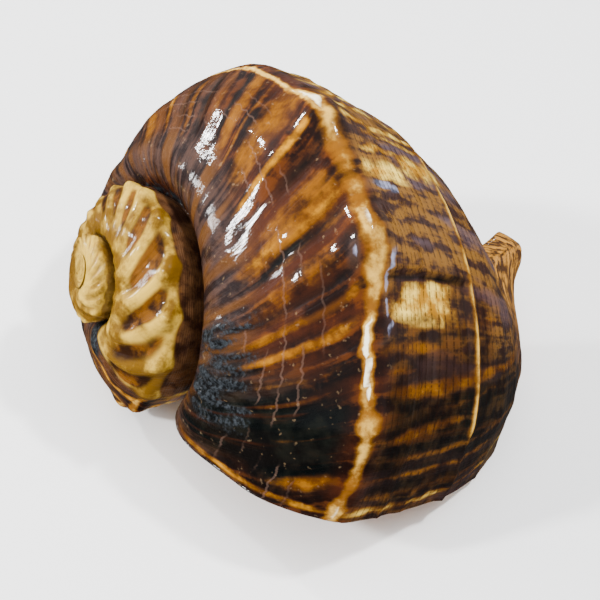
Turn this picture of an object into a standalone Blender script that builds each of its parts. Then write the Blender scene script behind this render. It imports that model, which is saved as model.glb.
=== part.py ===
"""Rapa whelk shell: one closed solid, grown as one loft along a spiral.

The shell's outer wall is a growth line that turns about the axis while it shrinks towards the apex.
Each turn is sewn to the turn before it along the suture. The mouth's edge leads into a hollow that
runs back inside the last whorl. Lengths are metres, angles are degrees, +Z is up.
"""
import math

import bmesh
import bpy
import numpy as np

NAME = "rapa_whelk_shell"

# Driving sizes: the shell is about 82 mm from apex to canal
LIP_RADIUS = 0.048
WALL = 0.0023
WALL_LEAST = 0.35
CALLUS = 0.0009
WORN = 0.00035

# The mouth's rounded edge: share of the way to the inside, bulge forward in wall thicknesses
LIP_ROUND = ((0.38, 0.42), (0.80, 0.30), (1.0, 0.0))

# Spiral: the whorl grows 2.55 times in a full turn
GROWTH = math.log(2.55) / 360.0
SUTURE_LEAD = 21.5
TURN = 360.0 - SUTURE_LEAD
LIP_PINCH = 0.03
LIP_PINCH_ARC = 30.0

# The lip is cut back above its widest place, most of all by the suture, and the apex is worn blunt
LIP_TRIM = 2.4
LIP_TRIM_TOP = 2.8
LIP_TRIM_ARC = 40.0
TRIM_END = 11.5
TRIM_TOP_END = 5.0
TRIM_FADE = 3.5
APEX_WORN = 0.060
APEX_ROUND = 0.03

# Growth line at the lip, from the suture to the umbilicus:
# distance from the axis and depth below the apex in lip radii, and the angle it runs ahead
GROWTH_LINE = (
    (0.418, 22.5, 0.437),
    (0.458, 21.5, 0.398),
    (0.530, 19.5, 0.376),
    (0.680, 13.0, 0.418),
    (0.840, 6.0, 0.512),
    (0.950, 2.0, 0.635),
    (1.000, 0.0, 0.735),
    (1.003, -0.5, 0.850),
    (0.985, -1.0, 0.930),
    (0.935, -1.0, 1.100),
    (0.852, 0.0, 1.294),
    (0.746, 1.0, 1.450),
    (0.610, 2.0, 1.582),
    (0.475, 1.0, 1.650),
    (0.355, 0.0, 1.698),
    (0.265, 0.0, 1.748),
    (0.200, 0.0, 1.770),
    (0.150, 0.0, 1.715),
    (0.118, 0.0, 1.600),
    (0.095, 0.0, 1.450),
    (0.075, 0.0, 1.250),
)
SHOULDER = 7.0
SEAM = 10.0
CREST = 18.0
PIT = 21.0
PIT_DEPTH = 0.45

# The canal bends away from the mouth over the last part of the growth
CANAL_BEND = (-0.215, -0.26, 0.08)
CANAL_ARC = 75.0
BEND_START = 12.5
BEND_FULL = 16.0
BEND_FADE = 2.0

# The canal's end is then drawn in, by this much beyond a depth and nearer the axis than a distance
CANAL_SHIFT = (-0.065, 0.0, -0.065)
SHIFT_DEPTH = 1.30
SHIFT_REACH = 0.45
SHIFT_SOFT = 0.35

# The inner lip bows towards the mouth
PILLAR_BOW = 0.06
PILLAR_BOW_TURN = 40.0

# Knobs on the shoulder: growth angle, height in lip radii, half width in degrees
KNOBS = (
    (-8.0, 0.008, 6.0),
    (-22.5, 0.030, 5.5),
    (-37.0, 0.030, 10.0),
    (-60.0, 0.085, 7.5),
    (-73.0, 0.020, 5.0),
    (-89.5, 0.075, 8.0),
    (-122.0, 0.015, 8.0),
    (-149.0, 0.006, 8.5),
    (-175.0, 0.045, 8.5),
    (-201.0, 0.050, 8.5),
    (-227.0, 0.062, 8.0),
    (-252.0, 0.062, 8.0),
    (-277.0, 0.062, 8.0),
    (-300.0, 0.062, 7.0),
    (-317.0, 0.060, 7.0),
    (-340.0, 0.050, 6.5),
    (-364.0, 0.070, 6.5),
    (-389.0, 0.070, 6.5),
    (-413.0, 0.074, 6.5),
    (-442.0, 0.070, 6.5),
    (-466.0, 0.066, 6.5),
    (-486.0, 0.060, 6.0),
)
EARLY_KNOB_STEP = 20.0
EARLY_KNOB_HEIGHT = 0.055
EARLY_KNOB_WIDTH = 6.5

# A knob's parts, as shares of its height, and how far its fold leans back per step of the growth line
KNOB_CROWN = 0.72
KNOB_FOLD = 0.22
KNOB_SKIRT = 0.25
FOLD_LEAN = 4.0

# Spiral cords: place on the growth line, height in lip radii, half width in steps of the line
CORDS = (
    (7.15, 0.008, 0.45),
    (8.55, 0.005, 0.16),
    (9.35, 0.005, 0.12),
    (10.47, 0.012, 0.11),
    (11.60, 0.006, 0.14),
    (12.50, 0.006, 0.14),
    (13.40, 0.006, 0.16),
)

# Mesh fineness before it is thinned
ROWS = 72
SPIRE_TURNS = 3.15
SPIRE_STEPS = 18
BASE_STEPS = 15
PIT_STEPS = 5
BRIDGE_STEPS = 7
LIP_BACK = -2.5
LIP_WALL = 1.15
LIP_ROUNDS = 4
HOLLOW_ROUNDS = 7
HOLLOW_STEPS = (-7, -12, -18, -25, -33, -42, -52, -63, -75, -89, -105, -124, -146, -171, -198)
TRIANGLES = 9300

# How the shell lies, mouth down: it rests on the last whorl's lower knobs and the lip's edge
ROLL = 187.73
SLOPE = 20.49
HEADING = 21.94

# The apex's place over the ground, which puts the middle of the shell's box over the origin
APEX_X = -0.0381
APEX_Y = -0.0036


def polar(points):
    """Points given as distance, angle and depth, as x, y and depth."""
    points = np.asarray(points, float)
    angle = np.radians(points[..., 1])
    return np.stack([points[..., 0] * np.cos(angle), points[..., 0] * np.sin(angle), points[..., 2]], -1)


def growth_curve():
    """The growth line's points, with its start put on the turn before, at the seam."""
    line = polar(GROWTH_LINE)
    seam = line[int(SEAM) - 1]
    scale = math.exp(-GROWTH * TURN)
    turn = math.radians(SUTURE_LEAD)
    start = np.array([math.cos(turn) * seam[0] - math.sin(turn) * seam[1],
                      math.sin(turn) * seam[0] + math.cos(turn) * seam[1],
                      seam[2]])
    return np.vstack([scale * start, line])


CURVE = growth_curve()


def along_line(place):
    """Smooth curve through the growth line's points, a cubic between each two."""
    last = len(CURVE) - 1
    place = np.clip(place, 0.0, last - 1e-9)
    cell = np.floor(place).astype(int)
    t = (place - cell)[..., None]
    before = np.where((cell > 0)[..., None], CURVE[np.maximum(cell - 1, 0)], 2 * CURVE[0] - CURVE[1])
    here = CURVE[cell]
    there = CURVE[cell + 1]
    after = np.where((cell + 2 <= last)[..., None], CURVE[np.minimum(cell + 2, last)],
                     2 * CURVE[last] - CURVE[last - 1])
    return 0.5 * (2 * here + (there - before) * t + (2 * before - 5 * here + 4 * there - after) * t ** 2
                  + (3 * here - before - 3 * there + after) * t ** 3)


def smooth_step(value):
    """0 to 1 with flat ends."""
    value = np.clip(value, 0.0, 1.0)
    return value * value * (3.0 - 2.0 * value)


def whorl_scale(growth):
    """Size of the whorl at a growth angle."""
    return np.exp(GROWTH * growth)


def canal_bend(growth, place):
    """How far the canal is bent away from the mouth: fully at the lip, not at all a quarter turn back."""
    late = smooth_step((growth + CANAL_ARC) / CANAL_ARC)
    down = smooth_step((place - BEND_START) / (BEND_FULL - BEND_START))
    pit = np.clip(1.0 - (place - CREST) / BEND_FADE, 0.0, 1.0) ** 2
    return (late * down * pit)[..., None] * np.array(CANAL_BEND)


def bare_wall(growth, place):
    """The growth line carried back along the spiral: turned and shrunk, with no relief."""
    growth, place = np.broadcast_arrays(np.asarray(growth, float), np.asarray(place, float))
    trim = LIP_TRIM * smooth_step((TRIM_END - place) / TRIM_FADE)
    trim = trim + LIP_TRIM_TOP * smooth_step((TRIM_TOP_END - place) / TRIM_FADE)
    growth = growth - trim * smooth_step((growth + LIP_TRIM_ARC) / LIP_TRIM_ARC)
    point = along_line(place)
    pinch = LIP_PINCH * smooth_step((growth + LIP_PINCH_ARC) / LIP_PINCH_ARC) * smooth_step(place / 4.0)
    scale = whorl_scale(growth) * (1.0 - pinch)
    angle = np.radians(growth)
    x = scale * (np.cos(angle) * point[..., 0] - np.sin(angle) * point[..., 1])
    y = scale * (np.sin(angle) * point[..., 0] + np.cos(angle) * point[..., 1])
    over = scale * point[..., 2] - APEX_WORN
    depth = APEX_WORN + 0.5 * (over + np.sqrt(over ** 2 + APEX_ROUND ** 2))
    return np.stack([x, y, depth], -1) + canal_bend(growth, place)


def wall_normal(growth, place):
    """Outward direction of the bare wall, from its two tangents."""
    step = 0.01
    down = bare_wall(growth, place + step) - bare_wall(growth, place - step)
    ahead = bare_wall(growth + 0.5, place) - bare_wall(growth - 0.5, place)
    normal = np.cross(down, ahead)
    return -normal / np.maximum(np.linalg.norm(normal, axis=-1, keepdims=True), 1e-12)


def knob_list():
    """The knobs seen in the photo, then evenly spaced ones up the spire."""
    knobs = list(KNOBS)
    angle = KNOBS[-1][0] - EARLY_KNOB_STEP
    while angle > -TURN * (1.0 + SPIRE_TURNS):
        knobs.append((angle, EARLY_KNOB_HEIGHT, EARLY_KNOB_WIDTH))
        angle -= EARLY_KNOB_STEP
    return knobs


def relief(growth, place):
    """Height over the bare wall: knobs with the folds that run up to them, and the cords."""
    height = np.zeros(np.broadcast(growth, place).shape)
    lean = FOLD_LEAN * np.clip(SHOULDER - 0.5 - place, 0.0, SHOULDER - 1.0)
    for angle, knob, width in knob_list():
        along = growth - angle
        crown = np.exp(-(along / width) ** 2 - ((place - SHOULDER) / 0.75) ** 2)
        fold = np.exp(-((along - lean) / (width * 1.25)) ** 2) * smooth_step((place - 1.6) / 3.5)
        fold = fold * smooth_step((SHOULDER + 0.4 - place) / 1.2)
        skirt = np.exp(-(along / (width * 1.1)) ** 2 - ((place - SHOULDER - 0.8) / 1.3) ** 2)
        height = height + knob * (KNOB_CROWN * crown + KNOB_FOLD * fold + KNOB_SKIRT * skirt)
    for at, cord, width in CORDS:
        height = height + cord * np.exp(-((place - at) / width) ** 2)
    fade = smooth_step(place / 1.5) * smooth_step(np.abs(place - SEAM) / 0.25)
    last = smooth_step((TURN - 10.0 + growth) / 20.0)
    spire = smooth_step((SEAM - place) / 0.3)
    fade = np.where(place > SEAM - 0.3, fade * last + (1.0 - last) * spire, fade)
    return height * fade * smooth_step((CREST - 1.0 - place) / 2.0)


def wall(growth, place):
    """Outer wall with its relief, in lip radii."""
    growth = np.asarray(growth, float)
    place = np.asarray(place, float)
    height = relief(growth, place) * whorl_scale(growth)
    return bare_wall(growth, place) + wall_normal(growth, place) * height[..., None]


class Net:
    """Points and faces of the shell while it is sewn together."""

    def __init__(self):
        self.points = []
        self.faces = []

    def add(self, points):
        """Store points and return their numbers."""
        first = len(self.points)
        self.points.extend(np.asarray(points).reshape(-1, 3).tolist())
        return list(range(first, len(self.points)))

    def face(self, *corners):
        """Store one face, leaving out corners that fall together."""
        kept = [c for k, c in enumerate(corners) if c != corners[k - 1]]
        if len(set(kept)) > 2:
            self.faces.append(kept)

    def strip(self, one, other, closed=False):
        """Join two rows of the same length with four-sided faces."""
        count = len(one)
        for k in range(count if closed else count - 1):
            nxt = (k + 1) % count
            self.face(one[k], one[nxt], other[nxt], other[k])


def outer_rows(net):
    """Rows of point numbers on the outside: the spire's end at the seam, the last whorl's in the pit."""
    places_spire = np.linspace(0.0, SEAM, SPIRE_STEPS + 1)
    places_base = np.linspace(SEAM, CREST, BASE_STEPS + 1)[1:]
    places_pit = np.linspace(CREST, PIT, PIT_STEPS + 1)[1:]
    full = np.concatenate([places_spire, places_base, places_pit])
    count = int(round(ROWS * (1.0 + SPIRE_TURNS)))
    pit = net.add([(0.0, 0.0, PIT_DEPTH)])[0]
    rows = []
    for k in range(count + 1):
        growth = -k * TURN / ROWS
        places = full if k <= ROWS else places_spire
        rows.append(net.add(wall(np.full(len(places), growth), places)))
    for k in range(count + 1 - ROWS):
        rows[k][0] = rows[k + ROWS][SPIRE_STEPS]
    for k in range(ROWS + 1):
        rows[k].append(pit)
    return rows


def sew_outside(net, rows):
    """Faces between the rows, and the small cap at the apex."""
    for k in range(len(rows) - 1):
        width = min(len(rows[k]), len(rows[k + 1]))
        net.strip(rows[k][:width], rows[k + 1][:width])
    top = [rows[k][0] for k in range(len(rows) - 1 - ROWS, len(rows) - 1)]
    edge = top + rows[-1]
    ring = np.array([net.points[c] for c in edge])
    middle = ring.mean(axis=0)
    middle[2] = ring[:, 2].min() - 0.3 * np.linalg.norm(ring - middle, axis=1).mean()
    cap = net.add([middle])[0]
    for k in range(len(edge)):
        net.face(edge[k], edge[(k + 1) % len(edge)], cap)


def pillar(growth, place, share):
    """Points between the whorl's crest or pit and those a turn before: straight, bowed towards the mouth."""
    share = np.asarray(share, float)[..., None]
    angle = math.radians(growth + PILLAR_BOW_TURN)
    sideways = np.array([math.cos(angle), math.sin(angle), 0.0]) * whorl_scale(growth)
    bend = canal_bend(growth, place)
    here = bare_wall(growth, place) - bend
    before = bare_wall(growth - TURN, place)
    bow = PILLAR_BOW * np.sin(math.pi * share) * (1.0 - (place - CREST) / (PIT - CREST + 1.0))[..., None]
    return here * (1 - share) + before * share + bow * sideways + bend * np.clip(1 - 2.5 * share, 0, 1) ** 2


def sew_inner_lip(net, rows):
    """The smooth shield beside the mouth, between the pit's first and last rows."""
    crest = SPIRE_STEPS + BASE_STEPS
    places = np.linspace(CREST, PIT, PIT_STEPS + 1)
    lines = [rows[0][crest:]]
    for k in range(1, BRIDGE_STEPS):
        share = np.full(len(places), k / BRIDGE_STEPS)
        lines.append(net.add(pillar(0.0, places, share)) + rows[0][-1:])
    lines.append(rows[ROWS][crest:])
    for k in range(BRIDGE_STEPS):
        net.strip(lines[k], lines[k + 1])
    return [line[0] for line in lines]


def mouth_loop(growth):
    """Points, growth directions, outwardness and nearness to the pillar of the mouth's loop."""
    outer = np.concatenate([np.linspace(0.0, SEAM, SPIRE_STEPS + 1),
                            np.linspace(SEAM, CREST, BASE_STEPS + 1)[1:]])
    inner = np.linspace(CREST, SEAM, BASE_STEPS + 1)[:-1]
    one = bare_wall(growth, outer)
    other = bare_wall(growth - TURN, inner)
    t = np.linspace(0.0, 1.0, BRIDGE_STEPS + 1)[1:-1]
    crest = np.full(len(t), CREST)
    bridge = pillar(growth, crest, t)
    points = np.vstack([one, bridge, other])
    ways = np.vstack([bare_wall(growth + 1.0, outer) - one,
                      pillar(growth + 1.0, crest, t) - bridge,
                      bare_wall(growth + 1.0 - TURN, inner) - other])
    share = np.concatenate([smooth_step(outer / 1.5), 1 - t, np.zeros(len(inner))])
    near = np.concatenate([smooth_step((outer - 16.0) / 2.0), np.ones(len(t)),
                           smooth_step((inner - 15.5) / 2.5)])
    narrow = np.concatenate([smooth_step((outer - 13.5) / 2.5), np.ones(len(t)),
                             smooth_step((inner - 14.0) / 2.5)])
    return points, ways, share, near, narrow


def inner_ring(growth, outer_depth, callus, rounds):
    """The mouth's loop moved inwards by the wall on one side and the callus on the other."""
    points, ways, share, near, narrow = mouth_loop(growth)
    along = np.roll(points, -1, axis=0) - np.roll(points, 1, axis=0)
    inward = np.cross(along, ways)
    inward /= np.maximum(np.linalg.norm(inward, axis=1, keepdims=True), 1e-9)
    middle = points.mean(axis=0)
    if np.sum(inward * (middle - points)) < 0:
        inward = -inward
    angle = math.radians(growth)
    sideways = np.array([math.cos(angle), math.sin(angle), 0.0])
    inward = inward * (1.0 - near[:, None]) + sideways * near[:, None]
    inward /= np.linalg.norm(inward, axis=1, keepdims=True)
    depth = outer_depth * share * (1.0 + 0.6 * near) + callus * (1 - share)
    ring = points + inward * depth[:, None]
    ease = np.clip(0.4 + 0.6 * narrow, 0.0, 1.0)[:, None]
    for _ in range(rounds):
        middle = 0.5 * (np.roll(ring, 1, axis=0) + np.roll(ring, -1, axis=0))
        ring = ring + ease * 0.7 * (middle - ring)
    return ring


def sew_hollow(net, loop):
    """Round the mouth's edge and run the hollow back inside the last whorl to a blind end."""
    wall_depth = WALL / LIP_RADIUS
    callus = CALLUS / LIP_RADIUS
    edge = np.array([net.points[c] for c in loop])
    lip = inner_ring(LIP_BACK, LIP_WALL * wall_depth, callus, LIP_ROUNDS)
    _, ways, share, _, _ = mouth_loop(0.0)
    forward = ways / np.linalg.norm(ways, axis=1, keepdims=True) * share[:, None] * wall_depth
    rings = [(1.0 - inside) * edge + inside * lip + bulge * forward for inside, bulge in LIP_ROUND]
    for growth in HOLLOW_STEPS:
        size = whorl_scale(growth)
        depth = wall_depth * (WALL_LEAST + (1.0 - WALL_LEAST) * size)
        rings.append(inner_ring(growth, depth, callus * size, HOLLOW_ROUNDS))
    last = loop
    for ring in rings:
        numbers = net.add(ring)
        net.strip(last, numbers, closed=True)
        last = numbers
    end = net.add([rings[-1].mean(axis=0)])[0]
    for k in range(len(last)):
        net.face(last[k], last[(k + 1) % len(last)], end)


def draw_in(points):
    """Move the canal's end towards the spire and away from the lip, fading out over the base."""
    near = smooth_step((SHIFT_REACH - points[:, 0]) / SHIFT_SOFT)
    deep = smooth_step((points[:, 2] - SHIFT_DEPTH) / SHIFT_SOFT)
    return points + (near * deep)[:, None] * np.array(CANAL_SHIFT)


def lie_down(points):
    """Turn the shell from its own axis to the way it lies, its lowest points a worn depth below 0."""
    roll = math.radians(ROLL)
    slope = math.radians(SLOPE)
    heading = math.radians(HEADING)
    points = draw_in(points)
    x = points[:, 2]
    y = points[:, 0] * math.cos(roll) - points[:, 1] * math.sin(roll)
    z = points[:, 0] * math.sin(roll) + points[:, 1] * math.cos(roll)
    x, z = x * math.cos(slope) + z * math.sin(slope), z * math.cos(slope) - x * math.sin(slope)
    x, y = x * math.cos(heading) - y * math.sin(heading), x * math.sin(heading) + y * math.cos(heading)
    turned = np.stack([x, y, z], -1) * LIP_RADIUS
    turned[:, 2] -= turned[:, 2].min() + WORN
    return turned + np.array([APEX_X, APEX_Y, 0.0])


def make_material():
    """Varnished shell: dark brown calcite under a clear gloss."""
    material = bpy.data.materials.new("varnished_shell")
    material.use_nodes = True
    shader = material.node_tree.nodes["Principled BSDF"]
    shader.inputs["Base Color"].default_value = (0.130, 0.055, 0.022, 1.0)
    shader.inputs["Roughness"].default_value = 0.22
    shader.inputs["Metallic"].default_value = 0.0
    material.diffuse_color = (0.130, 0.055, 0.022, 1.0)
    return material


def clean_copy(mesh, name):
    """A new mesh of the same faces, closed, facing outwards and smooth shaded."""
    work = bmesh.new()
    work.from_mesh(mesh)
    bmesh.ops.remove_doubles(work, verts=work.verts, dist=0.00001)
    bmesh.ops.triangulate(work, faces=work.faces)
    bmesh.ops.recalc_face_normals(work, faces=work.faces)
    loose = [v for v in work.verts if not v.link_faces]
    bmesh.ops.delete(work, geom=loose, context="VERTS")
    for face in work.faces:
        face.smooth = True
    result = bpy.data.meshes.new(name)
    work.to_mesh(result)
    work.free()
    return result


def build_shell(collection):
    """Sew the net, thin it to the triangle budget and wear its resting points flat."""
    net = Net()
    rows = outer_rows(net)
    sew_outside(net, rows)
    crest = SPIRE_STEPS + BASE_STEPS
    bridge = sew_inner_lip(net, rows)
    loop = rows[0][:crest] + bridge[:-1] + rows[ROWS][crest:SPIRE_STEPS:-1]
    sew_hollow(net, loop)
    used = sorted({c for face in net.faces for c in face})
    number = {c: k for k, c in enumerate(used)}
    points = lie_down(np.array([net.points[c] for c in used]))
    faces = [[number[c] for c in face] for face in net.faces]
    raw = bpy.data.meshes.new("raw_shell")
    raw.from_pydata(points.tolist(), [], faces)
    mesh = clean_copy(raw, "fine_shell")
    shell = bpy.data.objects.new("shell", mesh)
    collection.objects.link(shell)
    thin = shell.modifiers.new("Thin", "DECIMATE")
    thin.ratio = TRIANGLES / len(mesh.polygons)
    bpy.context.view_layer.update()
    depsgraph = bpy.context.evaluated_depsgraph_get()
    thinned = bpy.data.meshes.new_from_object(shell.evaluated_get(depsgraph))
    shell.modifiers.clear()
    for vertex in thinned.vertices:
        vertex.co.z = max(vertex.co.z, 0.0)
    shell.data = clean_copy(thinned, "shell")
    shell.data.materials.append(make_material())
    return shell


def main():
    """Remove what is in the scene and build the shell in its own collection."""
    for item in list(bpy.data.objects):
        bpy.data.objects.remove(item, do_unlink=True)
    collection = bpy.data.collections.new(NAME)
    bpy.context.scene.collection.children.link(collection)
    build_shell(collection)


main()
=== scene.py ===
"""A varnished rapa whelk shell, lying on its mouth on a pale surface.

The shell is one closed piece. Its outside is a growth line carried back along a spiral, and every
mark on it is a function of two numbers: the growth angle, which is 0 at the lip and falls towards
the apex, and the place, which counts the growth line's points from the suture. Lengths are metres
or lip radii, angles are degrees, and +Z is up.
"""
import functools
import math

import bpy
import numpy as np
from mathutils import Matrix, Vector


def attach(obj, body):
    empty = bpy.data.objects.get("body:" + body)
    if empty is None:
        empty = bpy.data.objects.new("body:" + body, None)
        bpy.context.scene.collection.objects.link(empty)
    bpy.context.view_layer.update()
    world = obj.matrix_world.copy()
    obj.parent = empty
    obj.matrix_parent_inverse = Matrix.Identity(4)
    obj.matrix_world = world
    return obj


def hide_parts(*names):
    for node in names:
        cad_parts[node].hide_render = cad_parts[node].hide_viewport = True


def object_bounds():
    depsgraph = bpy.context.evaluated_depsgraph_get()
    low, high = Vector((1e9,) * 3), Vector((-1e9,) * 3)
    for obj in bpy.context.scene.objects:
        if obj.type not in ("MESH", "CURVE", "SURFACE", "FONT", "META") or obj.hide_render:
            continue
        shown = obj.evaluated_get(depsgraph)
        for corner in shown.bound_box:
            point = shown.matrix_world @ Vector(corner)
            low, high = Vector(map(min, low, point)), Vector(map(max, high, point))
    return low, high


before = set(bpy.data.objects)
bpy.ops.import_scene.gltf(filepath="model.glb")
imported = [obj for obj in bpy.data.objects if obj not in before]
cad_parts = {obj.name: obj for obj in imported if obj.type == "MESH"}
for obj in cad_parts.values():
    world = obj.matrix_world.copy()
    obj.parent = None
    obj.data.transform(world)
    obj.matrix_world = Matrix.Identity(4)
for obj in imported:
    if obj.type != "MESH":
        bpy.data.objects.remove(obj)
cad_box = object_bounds()

# Driving sizes: the shell is about 82 mm from apex to canal
LIP_RADIUS = 0.048
WALL = 0.0023
WALL_LEAST = 0.35
CALLUS = 0.0009

# Spiral: the whorl grows 2.55 times in a full turn
GROWTH = math.log(2.55) / 360.0
SUTURE_LEAD = 21.5
TURN = 360.0 - SUTURE_LEAD
LIP_PINCH = 0.03
LIP_PINCH_ARC = 30.0
PINCH_FULL = 4.0

# The lip is cut back above its widest place, most of all by the suture, and the apex is worn blunt
LIP_TRIM = 2.4
LIP_TRIM_TOP = 2.8
LIP_TRIM_ARC = 40.0
TRIM_END = 11.5
TRIM_TOP_END = 5.0
TRIM_FADE = 3.5
APEX_WORN = 0.060
APEX_ROUND = 0.03

# Growth line at the lip, from the suture to the umbilicus:
# distance from the axis, the angle it runs ahead, and depth below the apex, in lip radii
GROWTH_LINE = (
    (0.418, 22.5, 0.437),
    (0.458, 21.5, 0.398),
    (0.530, 19.5, 0.376),
    (0.680, 13.0, 0.418),
    (0.840, 6.0, 0.512),
    (0.950, 2.0, 0.635),
    (1.000, 0.0, 0.735),
    (1.003, -0.5, 0.850),
    (0.985, -1.0, 0.930),
    (0.935, -1.0, 1.100),
    (0.852, 0.0, 1.294),
    (0.746, 1.0, 1.450),
    (0.610, 2.0, 1.582),
    (0.475, 1.0, 1.650),
    (0.355, 0.0, 1.698),
    (0.265, 0.0, 1.748),
    (0.200, 0.0, 1.770),
    (0.150, 0.0, 1.715),
    (0.118, 0.0, 1.600),
    (0.095, 0.0, 1.450),
    (0.075, 0.0, 1.250),
)

# Places on the growth line: the shoulder, the seam where the next turn is joined on, the crest of
# the base, and the end of the pit beside the canal, with its depth
SHOULDER = 7.0
SEAM = 10.0
CREST = 18.0
PIT = 21.0
PIT_DEPTH = 0.45

# The canal bends away from the mouth over the last part of the growth
CANAL_BEND = (-0.215, -0.26, 0.08)
CANAL_ARC = 75.0
BEND_START = 12.5
BEND_FULL = 16.0
BEND_FADE = 2.0

# The canal's end is then drawn in, by this much beyond a depth and nearer the axis than a distance
CANAL_SHIFT = (-0.065, 0.0, -0.065)
SHIFT_DEPTH = 1.30
SHIFT_REACH = 0.45
SHIFT_SOFT = 0.35

# The inner lip bows towards the mouth
PILLAR_BOW = 0.06
PILLAR_BOW_TURN = 40.0

# How the shell lies
ROLL = 187.73
SLOPE = 20.49
HEADING = 21.94
APEX = (-0.0381, -0.0036, 0.02975259)

# Knobs on the shoulder: growth angle, height in lip radii, half width in degrees
KNOBS = (
    (-8.0, 0.008, 6.0),
    (-22.5, 0.030, 5.5),
    (-37.0, 0.030, 10.0),
    (-60.0, 0.085, 7.5),
    (-73.0, 0.020, 5.0),
    (-89.5, 0.075, 8.0),
    (-122.0, 0.015, 8.0),
    (-149.0, 0.006, 8.5),
    (-175.0, 0.045, 8.5),
    (-201.0, 0.050, 8.5),
    (-227.0, 0.062, 8.0),
    (-252.0, 0.062, 8.0),
    (-277.0, 0.062, 8.0),
    (-300.0, 0.062, 7.0),
    (-317.0, 0.060, 7.0),
    (-340.0, 0.050, 6.5),
    (-364.0, 0.070, 6.5),
    (-389.0, 0.070, 6.5),
    (-413.0, 0.074, 6.5),
    (-442.0, 0.070, 6.5),
    (-466.0, 0.066, 6.5),
    (-486.0, 0.060, 6.0),
)
EARLY_KNOB_STEP = 20.0
EARLY_KNOB_HEIGHT = 0.055
EARLY_KNOB_WIDTH = 6.0

# A knob's parts, as shares of its height: crown, fold on the last whorl, what the spire adds, skirt
KNOB_CROWN = 0.72
KNOB_FOLD = 0.20
SPIRE_FOLD = 0.55
KNOB_SKIRT = 0.25

# The crown lies a little above the shoulder, more so on the spire; the fold rises from the swelling
# and ends past the shoulder; the skirt slides forward below it. Places, and half widths in steps.
CROWN_ABOVE = 0.15
SPIRE_CROWN_ABOVE = 0.45
CROWN_HALF = 0.68
FOLD_FROM = (2.4, 2.5)
FOLD_TO = (SHOULDER + 0.4, 1.2)
FOLD_WIDER = 1.15
SKIRT_AT = SHOULDER + 0.8
SKIRT_HALF = 1.3
SKIRT_SLIDE = 3.0
SKIRT_REACH = 2.0

# Old mouth edges lean back above the shoulder, by this much per step, and twice that on the spire
LEAN = 3.6
LEAN_END = 6.5
SPIRE_SOFT = 24.0

# Hollows between the folds above the shoulder, which the colour also darkens as painted shade, more
# where they are deeper: growth angle, half width, depth in lip radii, and the place where they begin
VALLEYS = (
    (-55.0, 2.4, 0.010, 4.3),
    (-67.0, 2.6, 0.012, 4.3),
    (-82.5, 3.2, 0.010, 5.0),
    (-106.0, 2.0, 0.006, 4.6),
    (-119.0, 2.0, 0.006, 4.4),
    (-131.0, 2.2, 0.008, 4.3),
    (-144.0, 2.2, 0.007, 4.3),
)

# Spiral cords: place on the growth line, height in lip radii, half width in steps of the line
CORDS = (
    (7.15, 0.008, 0.45),
    (8.55, 0.005, 0.16),
    (9.35, 0.005, 0.12),
    (10.47, 0.012, 0.11),
    (11.60, 0.006, 0.14),
    (12.50, 0.006, 0.14),
    (13.40, 0.006, 0.16),
)

# Fine relief, heights in lip radii: the folds under the amber streaks, and three kinds of growth
# ridges and lumps, drawn from smooth noise
STREAK_FOLD = 0.0060
STREAK_FOLD_FROM = 4.6
FOLD_SOFT = 1.2
FINE_RIDGES = 0.0024
BROAD_RIDGES = 0.0080
SPIRE_LUMPS = 0.010

# The swelling beside the suture and the dip beyond it: place, half width, height or depth
SWELLING = (3.45, 0.50, 0.016)
DIP = (4.45, 0.50, 0.010)

# Two old broken edges below the shoulder, behind which the shell is thicker:
# growth angle, arc over which the step runs out, height, and first place, last place and softness
LEDGE = (-52.3, 9.0, 0.020, (7.3, 10.3, 0.5))
RAG = (-67.3, 4.0, 0.012, (7.2, 9.5, 0.4))

# Scales on the canal and crusted dirt on the swelling: heights, and where they lie. Here and below,
# a pair is where a change starts or ends and how long it takes, and a triple is first place, last
# place and softness
CANAL_SCALES = 0.020
SCALES_FROM = (14.2, 1.5)
DIRT_CRUST = 0.0075
DIRT_PLACES = (2.8, 4.6, 0.8)
DIRT_FROM = (-62.0, 16.0)
DIRT_TO = (-14.0, 10.0)

# Where the valleys and the folds end towards the shoulder, and where the relief fades at the apex
FOLD_END = 6.4
PLAIN_APEX = -1150.0
PLAIN_ARC = 250.0

# Mesh fineness: rows in a turn, turns of spire, and steps over the whorl, the base, the pit, the
# inner lip and the mouth's rounded edge, given as share of the way in and bulge in wall thicknesses
ROWS = 400
SPIRE_TURNS = 3.15
FINE = 68
COARSE = FINE // 2
BASE = 50
PIT_STEPS = 8
BRIDGE = 10
LIP_ROUND = ((0.14, 0.30), (0.38, 0.42), (0.62, 0.38), (0.84, 0.22), (1.0, 0.0))

# The hollow: growth angles of its rings, and how the ring behind the lip is made and smoothed
HOLLOW_STEPS = (-5, -8, -12, -18, -25, -33, -42, -52, -63, -75, -89, -105, -124, -146, -171, -198)
LIP_BACK = -2.5
LIP_WALL = 1.15
LIP_ROUNDS = 8
HOLLOW_ROUNDS = 40
PILLAR_THICK = 0.6
SMOOTH_LEAST = 0.4
SMOOTH_SHARE = 0.7

# How far inside the mouth a point lies, 0 outside and 1 in the hollow: here for the inner lip
LIP_INSIDE = 0.55

# The points that close the apex and the hollow: height over the ring, and the places they count as
CAP_RISE = 0.3
CAP_PLACE = 3.0
END_PLACE = 9.0


def smooth_step(value):
    """0 to 1 with flat ends: three times the square less twice the cube."""
    value = np.clip(value, 0.0, 1.0)
    return value * value * (3.0 - 2.0 * value)


def rise(value, start, over):
    """0 up to start, then up to 1 over a stretch."""
    return smooth_step((value - start) / over)


def fall(value, end, over):
    """1 down to 0 over the stretch that ends at end."""
    return smooth_step((end - value) / over)


def bump(value, middle, width):
    """A bell of height 1 at middle: e to minus the square of the distance in half widths."""
    return np.exp(-((value - middle) / width) ** 2)


def window(value, low, high, soft):
    """1 between low and high, with soft ends."""
    return smooth_step((value - low) / soft + 0.5) * smooth_step((high - value) / soft + 0.5)


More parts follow.
